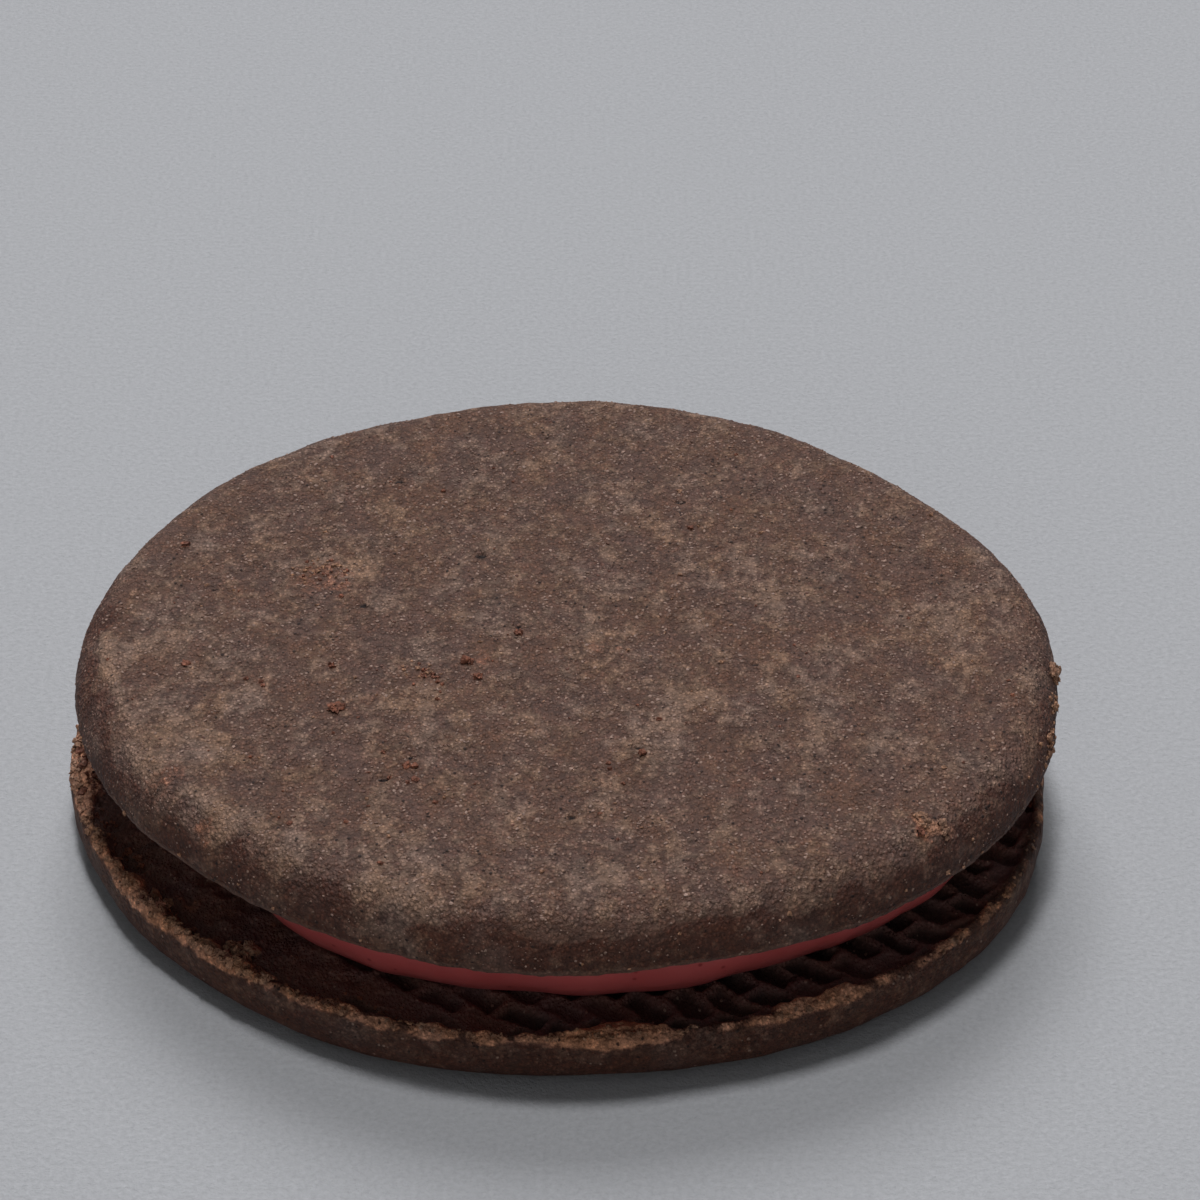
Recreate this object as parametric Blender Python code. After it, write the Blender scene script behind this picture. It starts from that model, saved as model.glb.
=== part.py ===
# Chocolate sandwich cookie: two baked cocoa biscuits with a layer of pink cream between them.
#
# Each biscuit is a disc with one domed face and one flat baked face. The domed faces point away
# from the cream, so the lower biscuit lies on its dome and its shallow tray faces up.
# The frame has +Z up, with the origin under the middle of the cookie, on what it rests on.

import math

import bmesh
import bpy
from mathutils import Matrix

MM = 0.001

# The two biscuits
BISCUIT_RADIUS = 33.0 * MM
BISCUIT_THICKNESS = 3.85 * MM
EDGE_RUN = 3.4 * MM  # how far in from the side the domed face starts to round over
EDGE_DROP = 3.1 * MM  # how much of the thickness that rounding takes
LOWER_EDGE_RUN = 2.0 * MM  # the lower biscuit's side is steeper
CROWN = 0.15 * MM  # rise of the domed face towards its middle
LIP_ROUND = 0.35 * MM  # small round where the side meets the flat baked face
RIM_WIDTH = 1.1 * MM  # raised rim round the flat baked face
TRAY_SLOPE = 0.6 * MM
TRAY_DEPTH = 0.6 * MM  # how far the tray lies below that rim

# The cream between them
CREAM_THICKNESS = 5.6 * MM  # between the two rims
CREAM_FOOT_RADIUS = 27.5 * MM
CREAM_BULGE = 1.3 * MM  # how far the side swells beyond the foot
CREAM_CORNER = 0.9 * MM
CREAM_SHIFT_X = 0.7 * MM  # the cream was put down a little off centre
CREAM_SHIFT_Y = -0.3 * MM
CLEARANCE = 0.3 * MM  # kept between two pieces that lie on each other

# How the upper biscuit sits on the cream
UPPER_TILT = math.radians(0.6)  # a little higher at the back
LOWER_SHIFT_X = -0.4 * MM

# Hand-rolled outlines: (lobes round the edge, swell, direction of the first lobe in degrees)
UPPER_OUTLINE = (
    (2, 0.47 * MM, -47),
    (3, 0.20 * MM, -36),
    (4, 0.18 * MM, -5),
    (6, 0.14 * MM, 17),
    (11, 0.07 * MM, 8),
)
LOWER_OUTLINE = (
    (2, 0.40 * MM, -26),
    (3, 0.27 * MM, -48),
    (4, 0.11 * MM, -28),
    (5, 0.19 * MM, 34),
    (9, 0.09 * MM, 12),
)
CREAM_OUTLINE = (
    (2, 0.26 * MM, -27),
    (3, 0.13 * MM, -31),
    (5, 0.34 * MM, -38),
    (8, 0.27 * MM, 11),
)
RIM_OUTLINE = ((5, 0.10 * MM, 20), (8, 0.08 * MM, 3), (13, 0.07 * MM, 11))

# Gentle waves over the upper domed face: (wavelength, height, heading in degrees)
FACE_WAVES = ((31 * MM, 0.13 * MM, 25), (23 * MM, 0.10 * MM, 100), (15 * MM, 0.06 * MM, 160))

# How finely the shapes are faceted
STEPS_ROUND = 84
FACE_RINGS = 5
EDGE_STEPS = 6
LIP_STEPS = 2
TRAY_RINGS = 3
BULGE_STEPS = 6
CORNER_STEPS = 3

COCOA = (0.110, 0.070, 0.055, 1.0)
COCOA_DARK = (0.070, 0.042, 0.033, 1.0)
PINK_CREAM = (0.330, 0.040, 0.040, 1.0)


def clear_scene():
    for item in list(bpy.data.objects):
        bpy.data.objects.remove(item)


def add_material(name, colour, roughness):
    material = bpy.data.materials.new(name)
    material.use_nodes = True
    shader = material.node_tree.nodes["Principled BSDF"]
    shader.inputs["Base Color"].default_value = colour
    shader.inputs["Roughness"].default_value = roughness
    shader.inputs["Metallic"].default_value = 0.0
    return material


def swell(lobes, angle):
    """How far an uneven outline stands out at this angle."""
    return sum(
        height * math.cos(count * (angle - math.radians(direction)))
        for count, height, direction in lobes
    )


def waves(x, y):
    """Height of the upper face's gentle waves at this place."""
    total = 0.0
    for length, height, heading in FACE_WAVES:
        along = x * math.cos(math.radians(heading)) + y * math.sin(math.radians(heading))
        total += height * math.sin(math.tau * along / length)
    return total


def biscuit_profile(edge_run):
    """Half section of a biscuit, dome up, from the dome's middle round to the tray's middle."""
    face_radius = BISCUIT_RADIUS - edge_run
    points = []
    for step in range(FACE_RINGS):
        share = step / FACE_RINGS
        points.append((face_radius * share, BISCUIT_THICKNESS + CROWN * (1 - share**2)))
    for step in range(EDGE_STEPS + 1):
        turn = math.pi / 2 * step / EDGE_STEPS
        out = face_radius + edge_run * math.sin(turn)
        points.append((out, BISCUIT_THICKNESS - EDGE_DROP * (1 - math.cos(turn))))
    for step in range(LIP_STEPS + 1):
        turn = math.pi / 2 * step / LIP_STEPS
        out = BISCUIT_RADIUS - LIP_ROUND * (1 - math.cos(turn))
        points.append((out, LIP_ROUND * (1 - math.sin(turn))))
    rim_inside = BISCUIT_RADIUS - LIP_ROUND - RIM_WIDTH
    points.append((rim_inside, 0.0))
    for step in range(TRAY_RINGS + 1):
        share = 1 - step / TRAY_RINGS
        points.append(((rim_inside - TRAY_SLOPE) * share, TRAY_DEPTH))
    return points


def cream_profile(thickness):
    """Half section of the cream, standing on its foot, from its top middle round to its foot."""
    points = [(0.0, thickness), (CREAM_FOOT_RADIUS / 2, thickness)]
    flat_radius = CREAM_FOOT_RADIUS - CREAM_CORNER
    points.append((flat_radius, thickness))
    for step in range(BULGE_STEPS + 1):
        share = step / BULGE_STEPS
        out = CREAM_FOOT_RADIUS + CREAM_BULGE * math.sin(math.pi * share)
        height = thickness - CREAM_CORNER / 2 - (thickness - CREAM_CORNER) * share
        points.append((out, height))
    points += [(flat_radius, 0.0), (CREAM_FOOT_RADIUS / 2, 0.0), (0.0, 0.0)]
    return points


def turn_round(profile):
    """Spin a half section round Z into one closed body."""
    body = bmesh.new()
    points = [body.verts.new((out, 0.0, height)) for out, height in profile]
    edges = [body.edges.new(pair) for pair in zip(points, points[1:])]
    bmesh.ops.spin(
        body,
        geom=points + edges,
        cent=(0.0, 0.0, 0.0),
        axis=(0.0, 0.0, 1.0),
        angle=math.tau,
        steps=STEPS_ROUND,
        use_merge=True,
    )
    bmesh.ops.remove_doubles(body, verts=body.verts[:], dist=0.001 * MM)
    return body


def push_outline(body, lobes, radius):
    """Press a round body's outline uneven, more towards its side than in its middle."""
    for vert in body.verts:
        out = math.hypot(vert.co.x, vert.co.y)
        if out < 0.01 * MM:
            continue
        angle = math.atan2(vert.co.y, vert.co.x)
        factor = 1 + swell(lobes, angle) * (out / radius) ** 2 / out
        vert.co.x *= factor
        vert.co.y *= factor


def roughen_rim(body):
    """Let the rim of the flat baked face rise and fall a little."""
    inside = BISCUIT_RADIUS - LIP_ROUND - RIM_WIDTH - 0.5 * TRAY_SLOPE
    for vert in body.verts:
        out = math.hypot(vert.co.x, vert.co.y)
        if out > inside and abs(vert.co.z) < 0.5 * LIP_ROUND:
            vert.co.z += swell(RIM_OUTLINE, math.atan2(vert.co.y, vert.co.x))


def wave_face(body):
    """Lay the gentle waves over the domed face."""
    middle = BISCUIT_THICKNESS / 2
    for vert in body.verts:
        if vert.co.z > middle:
            share = (vert.co.z - middle) / (BISCUIT_THICKNESS - middle)
            vert.co.z += waves(vert.co.x, vert.co.y) * min(share, 1.0)


def add_piece(name, body, material):
    bmesh.ops.recalc_face_normals(body, faces=body.faces[:])
    mesh = bpy.data.meshes.new(name)
    body.to_mesh(mesh)
    body.free()
    mesh.materials.append(material)
    mesh.shade_smooth()
    mesh.set_sharp_from_angle(angle=math.radians(50))
    piece = bpy.data.objects.new(name, mesh)
    bpy.context.collection.objects.link(piece)
    return piece


def build_lower_biscuit(material):
    body = turn_round(biscuit_profile(LOWER_EDGE_RUN))
    roughen_rim(body)
    push_outline(body, LOWER_OUTLINE, BISCUIT_RADIUS)
    for vert in body.verts:
        on_base = vert.co.z > BISCUIT_THICKNESS - 0.01 * MM
        vert.co.z = 0.0 if on_base else BISCUIT_THICKNESS - vert.co.z
    bmesh.ops.translate(body, verts=body.verts[:], vec=(LOWER_SHIFT_X, 0.0, 0.0))
    return add_piece("lower_biscuit", body, material)


def build_cream(material):
    floor = BISCUIT_THICKNESS - TRAY_DEPTH + CLEARANCE
    ceiling = BISCUIT_THICKNESS + CREAM_THICKNESS + TRAY_DEPTH - CLEARANCE
    body = turn_round(cream_profile(ceiling - floor))
    push_outline(body, CREAM_OUTLINE, CREAM_FOOT_RADIUS)
    tilt_with_height(body, ceiling - floor)
    bmesh.ops.translate(body, verts=body.verts[:], vec=(CREAM_SHIFT_X, CREAM_SHIFT_Y, floor))
    return add_piece("cream", body, material)


def tilt_with_height(body, thickness):
    """Lean the cream's upper side to the tilt of the biscuit that lies on it."""
    for vert in body.verts:
        share = vert.co.z / thickness
        vert.co.z += math.tan(UPPER_TILT) * (vert.co.y + CREAM_SHIFT_Y) * share


def build_upper_biscuit(material):
    body = turn_round(biscuit_profile(EDGE_RUN))
    roughen_rim(body)
    wave_face(body)
    push_outline(body, UPPER_OUTLINE, BISCUIT_RADIUS)
    bmesh.ops.transform(body, matrix=Matrix.Rotation(UPPER_TILT, 4, "X"), verts=body.verts[:])
    height = BISCUIT_THICKNESS + CREAM_THICKNESS
    bmesh.ops.translate(body, verts=body.verts[:], vec=(0.0, 0.0, height))
    return add_piece("upper_biscuit", body, material)


def centre_on_origin(pieces):
    """Shift all pieces alike, so that the middle of their common box lies over the origin."""
    corners = [vert.co for piece in pieces for vert in piece.data.vertices]
    middle_x = (min(point.x for point in corners) + max(point.x for point in corners)) / 2
    middle_y = (min(point.y for point in corners) + max(point.y for point in corners)) / 2
    for piece in pieces:
        piece.data.transform(Matrix.Translation((-middle_x, -middle_y, 0.0)))


clear_scene()
cocoa = add_material("baked_cocoa_dough", COCOA, 0.85)
cocoa_dark = add_material("baked_cocoa_dough_dark", COCOA_DARK, 0.85)
pink = add_material("pink_cream", PINK_CREAM, 0.35)
centre_on_origin([build_lower_biscuit(cocoa_dark), build_cream(pink), build_upper_biscuit(cocoa)])
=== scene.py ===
import math
import random

import bmesh
import bpy
from mathutils import Euler, Matrix, Vector, noise


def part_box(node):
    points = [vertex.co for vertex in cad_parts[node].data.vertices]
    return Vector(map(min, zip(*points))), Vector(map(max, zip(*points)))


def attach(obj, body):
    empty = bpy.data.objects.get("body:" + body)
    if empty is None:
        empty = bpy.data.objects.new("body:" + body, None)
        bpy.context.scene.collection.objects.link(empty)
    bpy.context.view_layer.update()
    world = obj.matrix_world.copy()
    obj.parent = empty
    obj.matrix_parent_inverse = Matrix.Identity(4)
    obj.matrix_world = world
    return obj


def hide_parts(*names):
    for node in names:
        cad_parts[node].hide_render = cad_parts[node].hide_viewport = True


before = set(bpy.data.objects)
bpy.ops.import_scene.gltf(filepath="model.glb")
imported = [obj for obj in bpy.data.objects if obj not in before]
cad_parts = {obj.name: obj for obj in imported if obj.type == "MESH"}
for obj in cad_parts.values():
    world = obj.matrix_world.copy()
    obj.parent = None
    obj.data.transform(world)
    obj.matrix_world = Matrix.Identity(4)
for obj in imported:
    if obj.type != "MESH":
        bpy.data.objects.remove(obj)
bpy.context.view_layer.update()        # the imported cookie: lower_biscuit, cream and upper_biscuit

mm = 0.001
bpy.context.scene.view_settings.view_transform = "Standard"


# small helpers

def linearColour(hexText):
    # sRGB hex to the linear values that the shaders want
    channels = [int(hexText[i:i + 2], 16) / 255 for i in (1, 3, 5)]
    linear = [c / 12.92 if c <= 0.04045 else ((c + 0.055) / 1.055) ** 2.4 for c in channels]
    return (*linear, 1.0)


def newMaterial(name):
    material = bpy.data.materials.new(name)
    material.use_nodes = True
    material.node_tree.nodes.clear()
    return material


def addNode(material, kind, settings=None, inputs=None):
    # adds one node; an input is a plain value or the output that feeds it
    node = material.node_tree.nodes.new("ShaderNode" + kind)
    for name, value in (settings or {}).items():
        setattr(node, name, value)
    for name, value in (inputs or {}).items():
        if isinstance(value, bpy.types.NodeSocket):
            material.node_tree.links.new(value, node.inputs[name])
        else:
            node.inputs[name].default_value = value
    return node


def startPiece(name):
    # the primitive that was just added becomes a named piece, open in edit mode with nothing selected
    piece = bpy.context.active_object
    piece.name = name
    piece.data.name = name
    bpy.ops.object.mode_set(mode="EDIT")
    bpy.ops.mesh.select_all(action="DESELECT")
    return piece


def selectFaces(piece, rule):
    # rule gets a face's middle and normal
    bpy.ops.mesh.select_mode(type="FACE")
    bpy.ops.mesh.select_all(action="DESELECT")
    shape = bmesh.from_edit_mesh(piece.data)
    for face in shape.faces:
        face.select_set(rule(face.calc_center_median(), face.normal))
    shape.select_flush_mode()
    bmesh.update_edit_mesh(piece.data)


def selectRing(piece, height):
    # the edges that lie all at one height
    bpy.ops.mesh.select_mode(type="EDGE")
    bpy.ops.mesh.select_all(action="DESELECT")
    shape = bmesh.from_edit_mesh(piece.data)
    for edge in shape.edges:
        edge.select_set(all(abs(vert.co.z - height) < 0.01 * mm for vert in edge.verts))
    bmesh.update_edit_mesh(piece.data)


def makeActive(piece):
    bpy.ops.object.select_all(action="DESELECT")
    piece.select_set(True)
    bpy.context.view_layer.objects.active = piece


def applyModifier(piece, kind, **settings):
    makeActive(piece)
    modifier = piece.modifiers.new(kind, kind)
    for key, value in settings.items():
        setattr(modifier, key, value)
    bpy.ops.object.modifier_apply(modifier=modifier.name)


def addRelief(piece, kind, size, height, group="", direction="NORMAL", **settings):
    # pushes the surface by one of Blender's own textures; size and height in metres
    texture = bpy.data.textures.new(f"{piece.name}{kind}", kind)
    texture.noise_scale = size
    for key, value in settings.items():
        setattr(texture, key, value)
    applyModifier(piece, "DISPLACE", texture=texture, strength=height, mid_level=0.5,
                  direction=direction, vertex_group=group and group + "Area", texture_coords="LOCAL")


def pushGroup(piece, group, height, direction="NORMAL"):
    # lifts or sinks what is in a vertex group
    applyModifier(piece, "DISPLACE", strength=height, mid_level=0.0, direction=direction,
                  vertex_group=group + "Area")


def paintGroup(piece, name, rule):
    # an attribute for the material and a vertex group for the relief, both filled with
    # rule(place, normal) from 0 to 1
    group = piece.vertex_groups.new(name=name + "Area")
    weights = []
    for vert in piece.data.vertices:
        weight = min(max(rule(vert.co, vert.normal), 0.0), 1.0)
        weights.append(weight)
        if weight > 0.001:
            group.add([vert.index], weight, "REPLACE")
    attribute = piece.data.attributes.new(name, "FLOAT", "POINT")
    attribute.data.foreach_set("value", weights)


def ramp(value, low, high):
    # 0 at low, 1 at high, smooth between; low may be the larger one
    share = min(max((value - low) / (high - low), 0.0), 1.0)
    return share * share * (3 - 2 * share)


def blotch(place, size, octaves=4, seed=0.0):
    # layered noise round 0, about -1 to 1
    point = place / size + Vector((seed, seed * 0.7, -seed))
    return noise.fractal(point, 0.8, 2.1, octaves, noise_basis="PERLIN_ORIGINAL")


outlineSteps = 120
outlineSpan = math.radians(3)      # how far to each side a step looks for the edge


def outlineOf(node):
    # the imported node's radius all round, seen from its box's middle
    low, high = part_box(node)
    middle = (low + high) / 2
    ring = []
    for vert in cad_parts[node].data.vertices:
        out = vert.co - middle
        if math.hypot(out.x, out.y) > 0.45 * (high.x - low.x):
            ring.append((math.atan2(out.y, out.x), math.hypot(out.x, out.y)))
    radii = []
    for step in range(outlineSteps):
        turn = step / outlineSteps * math.tau
        near = [out for angle, out in ring
                if abs((angle - turn + math.pi) % math.tau - math.pi) < outlineSpan]
        radii.append(max(near))
    return middle, radii


def takeOutline(piece, node, radius):
    # presses a round piece, built round the origin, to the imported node's outline
    middle, radii = outlineOf(node)
    for vert in piece.data.vertices:
        place = math.atan2(vert.co.y, vert.co.x) % math.tau / math.tau * outlineSteps
        first = int(place) % outlineSteps
        share = place - int(place)
        wanted = radii[first] * (1 - share) + radii[(first + 1) % outlineSteps] * share
        factor = 1 + (wanted / radius - 1) * math.hypot(vert.co.x, vert.co.y) / radius
        vert.co.x *= factor
        vert.co.y *= factor
    return middle


def settle(piece, move, tilt=0.0):
    # puts the piece in its place and keeps that place in its mesh
    piece.rotation_euler = Euler((tilt, 0, 0))
    piece.location = move
    makeActive(piece)
    bpy.ops.object.transform_apply(location=True, rotation=True, scale=True)


def finishPiece(piece, material, node=None):
    makeActive(piece)
    bpy.ops.object.shade_smooth()
    piece.data.materials.clear()
    piece.data.materials.append(material)
    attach(piece, "root")
    if node:
        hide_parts(node)


bpy.ops.object.select_all(action="DESELECT")

# baked cocoa dough

cocoaLook = {
    "dough": "#6a4c3f",      # grey brown with a breath of purple
    "flake": "#8d705e",      # where the thin skin has flaked and dry dough shows
    "shade": "#533023",      # darker, smoother skin, that on the steep round of the upper edge also stands for painted shade
    "inside": "#c68e6e",     # crumb of the broken rim
    "torn": "#7c5443",       # where its skin only tore
    "pressed": "#70504a",    # even crust that lay on the baking mat
    # painted shade: the colour of holes
    "pit": "#1f120f",
    "sugar": "#b39886",
    "rustier": (1.000, 0.945, 0.855),   # what the browning does to red, green and blue
    "greyer": (0.910, 0.945, 1.020),
    "meal": 0.27 * mm,       # flour and cocoa grains, drawn about twice their size so that they show
    "wobble": 0.16 * mm,     # how far their outlines stray from a plain cell
    "grainTones": (0.69, 1.28),
    "gapTones": (0.70, 1.17),
    "pitShare": 0.035,       # of the grains
    "sugarShare": 0.020,
    "relief": 0.25 * mm,     # height of the finest grain, which no mesh here can carry
    "fray": 0.9 * mm,
    "cloud": 3.4 * mm,
    "browning": 2.5 * mm,
    "roughness": 0.72,
    "specular": 0.35,
}


def bakedCocoaDough(name, look):
    # dry, matte and mealy: light comes back softly from a surface of flour, cocoa and sugar grains
    material = newMaterial(name)
    place = addNode(material, "TexCoord").outputs["Object"]
    # the dough was rolled one way, so its marks run longer front to back
    place = addNode(material, "VectorMath", {"operation": "MULTIPLY"}, {0: place, 1: (1, 0.72, 1)}).outputs[0]

    def painted(attribute):
        return addNode(material, "Attribute", {"attribute_name": attribute}).outputs["Fac"]

    def noiseOf(size, detail, roughness):
        return addNode(material, "TexNoise", None, {
            "Vector": place, "Scale": 1 / size, "Detail": detail, "Roughness": roughness})

    def between(value, low, high, start=0.0, end=1.0, kind="SMOOTHSTEP"):
        return addNode(material, "MapRange", {"interpolation_type": kind}, {
            "Value": value, "From Min": low, "From Max": high, "To Min": start, "To Max": end}).outputs[0]

    def blend(factor, first, second):
        return addNode(material, "Mix", {"data_type": "RGBA"}, {
            0: factor, 6: first, 7: second}).outputs[2]

    def calculate(operation, first, second, third=0.0):
        return addNode(material, "Math", {"operation": operation}, {
            0: first, 1: second, 2: third}).outputs[0]

    fray = noiseOf(look["fray"], 5, 0.72).outputs["Fac"]
    cloud = noiseOf(look["cloud"], 3, 0.6).outputs["Fac"]
    grain = noiseOf(look["meal"], 3, 0.65)

    # grains of meal: cells of uneven shape, each with its own tone, with painted shade in the gaps between
    # them and painted light on their middles
    wobble = addNode(material, "VectorMath", {"operation": "MULTIPLY_ADD"}, {
        0: grain.outputs["Color"], 1: [look["wobble"]] * 3, 2: place}).outputs[0]
    cells = addNode(material, "TexVoronoi", None, {"Vector": wobble, "Scale": 1 / look["meal"]})
    chance = addNode(material, "SeparateColor", None, {"Color": cells.outputs["Color"]})
    body = between(cells.outputs["Distance"], 0.62, 0.12)
    grainTone = between(chance.outputs["Red"], 0.0, 1.0, *look["grainTones"], "LINEAR")
    gapShade = between(body, 0.0, 1.0, *look["gapTones"], "LINEAR")

    flakeField = calculate("MULTIPLY_ADD", fray, 2.4, painted("flake"))
    flakeField = calculate("MULTIPLY_ADD", chance.outputs["Green"], 0.24, flakeField)
    shadeField = calculate("MULTIPLY_ADD", cloud, 2.0, painted("shade"))
    shadeField = calculate("MULTIPLY_ADD", fray, 0.8, shadeField)
    shadeMask = between(shadeField, 1.70, 2.25)
    pressed = painted("moulded")
    smooth = calculate("MAXIMUM", calculate("MULTIPLY", shadeMask, 0.6), pressed)
    flakeMask = calculate("MULTIPLY", between(flakeField, 1.42, 2.05), calculate("SUBTRACT", 1.0, smooth))
    brokenField = calculate("MULTIPLY_ADD", fray, 1.4, painted("broken"))
    brokenMask = between(brokenField, 0.85, 1.20)
    openMask = between(brokenField, 1.10, 1.55)

    colour = blend(shadeMask, linearColour(look["dough"]), linearColour(look["shade"]))
    colour = blend(calculate("MULTIPLY", pressed, 0.8), colour, linearColour(look["pressed"]))
    colour = blend(flakeMask, colour, linearColour(look["flake"]))
    insideTone = between(fray, 0.34, 0.62, 0.55, 1.30, "LINEAR")
    inside = blend(openMask, linearColour(look["torn"]), linearColour(look["inside"]))
    inside = addNode(material, "VectorMath", {"operation": "SCALE"}, {
        0: inside, "Scale": insideTone}).outputs[0]
    colour = blend(brokenMask, colour, inside)
    # broad, faint clouds where the dough browned more or less
    tone = between(cloud, 0.3, 0.7, 0.90, 1.10, "LINEAR")
    tone = calculate("MULTIPLY", tone, between(fray, 0.35, 0.65, 0.88, 1.12, "LINEAR"))
    tone = calculate("MULTIPLY", tone, calculate("MULTIPLY", grainTone, gapShade))
    # pressed against the baking mat, the dough came out denser and more even; painted shade darkens its slots
    evened = calculate("MULTIPLY", pressed, 0.5)
    tone = addNode(material, "Mix", None, {0: evened, 2: tone, 3: 1.0}).outputs[0]
    tone = calculate("MULTIPLY", tone, between(painted("tray"), 0.04, 0.60, 1.06, 0.43))
    colour = addNode(material, "VectorMath", {"operation": "SCALE"}, {
        0: colour, "Scale": tone}).outputs[0]
    # fat and sugar browned unevenly: some places are rustier, others greyer
    drift = between(noiseOf(look["browning"], 1, 0.5).outputs["Fac"], 0.32, 0.68, 0.0, 1.0, "LINEAR")
    hue = addNode(material, "Mix", {"data_type": "VECTOR"}, {
        0: drift, 4: look["greyer"], 5: look["rustier"]}).outputs[1]
    colour = addNode(material, "VectorMath", {"operation": "MULTIPLY"}, {0: colour, 1: hue}).outputs[0]

    def rare(channel, share, strength):
        chosen = calculate("LESS_THAN", chance.outputs[channel], share)
        return calculate("MULTIPLY", between(body, 0.2, 0.8, 0.0, strength), chosen)

    # painted shade in tiny holes among the grains
    shadedPits = calculate("MULTIPLY", rare("Blue", look["pitShare"], 0.9), calculate("SUBTRACT", 1.0, pressed))
    colour = blend(shadedPits, colour, linearColour(look["pit"]))
    colour = blend(rare("Green", look["sugarShare"], 0.5), colour, linearColour(look["sugar"]))
    # painted shade in the bubble holes
    deepField = calculate("MULTIPLY_ADD", fray, 1.6, painted("deep"))
    colour = blend(between(deepField, 1.15, 1.55), colour, linearColour(look["pit"]))

    height = calculate("MULTIPLY_ADD", body, 0.5, grain.outputs["Fac"])
    height = calculate("MULTIPLY_ADD", fray, 1.2, height)
    height = calculate("MULTIPLY_ADD", flakeMask, 0.3, height)
    bump = addNode(material, "Bump", None, {
        "Strength": between(pressed, 0.0, 1.0, 1.0, 0.75), "Distance": look["relief"],
        "Height": height}).outputs[0]
    shader = addNode(material, "BsdfPrincipled", None, {
        "Base Color": colour, "Roughness": look["roughness"], "IOR": 1.45,
        "Specular IOR Level": look["specular"], "Normal": bump})
    addNode(material, "OutputMaterial", None, {"Surface": shader.outputs[0]})
    return material


# the two biscuits

biscuitShape = {
    "radius": 33.0 * mm,
    "thickness": 3.85 * mm,
    "sidesRound": 128,
    "upperEdge": 3.1 * mm,       # round-over of the domed face
    "lowerEdge": 2.1 * mm,
    "lip": 0.35 * mm,
    "rimWidth": 0.50 * mm,
    "traySlope": 0.35 * mm,
    "trayDepth": 0.40 * mm,
    "grid": 0.28 * mm,           # size of the faces that carry the relief
    "hiddenRadius": 24.0 * mm,   # what the cream covers is left plain
    "gap": 5.6 * mm,             # between the two rims
    "upperTilt": math.radians(0.6),
}

matWeave = {
    "across": 1.95 * mm,         # from slot to slot
    "along": 3.5 * mm,
    "wall": 0.42 * mm,           # dough left standing between two slots
    "depth": 0.95 * mm,
    "heading": math.radians(-39),
    "waver": 0.50 * mm,
    "waverSizes": (3.1 * mm, 2.7 * mm),
    "fringe": 0.22 * mm,         # how ragged the walls are
    "fringeSize": 0.9 * mm,
    "slopeInside": 0.30 * mm,    # a wall's side falls off softly, mostly into the slot
    "slopeOutside": 0.12 * mm,
    "leastDepth": 0.25,
    "usualDepth": 0.68,
    "depthSpread": 0.9,
}

noise.seed_set(1)      # noise_vector, which makes the fringe, would otherwise follow the clock


def slotWeight(place):
    # the print of the woven baking mat: rows of slots, each row set off by half a slot; 0 on the
    # walls, up to 1 in a slot, and no two slots are equally deep
    sizeX, sizeY = matWeave["waverSizes"]
    waverX = matWeave["waver"] * noise.noise(Vector((place.x, place.y, 0.003)) / sizeX)
    waverY = matWeave["waver"] * noise.noise(Vector((place.y, place.x, 0.007)) / sizeY)
    fringe = matWeave["fringe"] * noise.noise_vector(place / matWeave["fringeSize"])
    waverX, waverY = waverX + fringe.x, waverY + fringe.y
    cosine, sine = math.cos(matWeave["heading"]), math.sin(matWeave["heading"])
    along = (place.x + waverX) * cosine + (place.y + waverY) * sine
    across = (place.y + waverY) * cosine - (place.x + waverX) * sine
    row = math.floor(across / matWeave["across"])
    along += 0.5 * (row % 2) * matWeave["along"]
    column = math.floor(along / matWeave["along"])
    inside = 1.0
    for value, pitch in ((across, matWeave["across"]), (along, matWeave["along"])):
        offset = abs((value / pitch) % 1.0 - 0.5) * pitch
        edge = (pitch - matWeave["wall"]) / 2
        inside *= 1 - ramp(offset, edge - matWeave["slopeInside"], edge + matWeave["slopeOutside"])
    ownNoise = noise.noise(Vector((row * 1.37, column * 1.91, 0.5)))
    ownDepth = matWeave["usualDepth"] + matWeave["depthSpread"] * ownNoise
    return inside * min(max(ownDepth, matWeave["leastDepth"]), 1.0)


def biscuitBlank(name, edgeRound):
    # a round cake, dome up, pressed in edit mode to a rim and a shallow tray underneath
    thickness = biscuitShape["thickness"]
    bpy.ops.mesh.primitive_cylinder_add(vertices=biscuitShape["sidesRound"], radius=biscuitShape["radius"],
                                        depth=thickness, location=(0, 0, thickness / 2))
    bpy.ops.object.transform_apply(location=True, rotation=False, scale=False)
    piece = startPiece(name)
    selectRing(piece, thickness)
    bpy.ops.mesh.bevel(offset=edgeRound, segments=8, profile=0.5)
    selectRing(piece, 0.0)
    bpy.ops.mesh.bevel(offset=biscuitShape["lip"], segments=3, profile=0.5)
    selectFaces(piece, lambda middle, normal: normal.z < -0.99)
    bpy.ops.mesh.inset(thickness=biscuitShape["rimWidth"])
    bpy.ops.mesh.inset(thickness=biscuitShape["traySlope"], depth=-biscuitShape["trayDepth"])
    bpy.ops.object.mode_set(mode="OBJECT")
    return piece


def refine(piece, size):
    # even small faces all over, for the relief
    applyModifier(piece, "REMESH", mode="VOXEL", voxel_size=size)
    applyModifier(piece, "SMOOTH", factor=0.5, iterations=5)


def clearHidden(piece, facing):
    # the tray's middle lies under the cream: its many faces become one
    bpy.ops.object.select_all(action="DESELECT")
    makeActive(piece)
    bpy.ops.object.mode_set(mode="EDIT")
    reach = biscuitShape["hiddenRadius"]
    selectFaces(piece, lambda middle, normal: normal.z * facing > 0.5
                and math.hypot(middle.x, middle.y) < reach)
    bpy.ops.mesh.dissolve_faces()
    bpy.ops.object.mode_set(mode="OBJECT")


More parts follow.
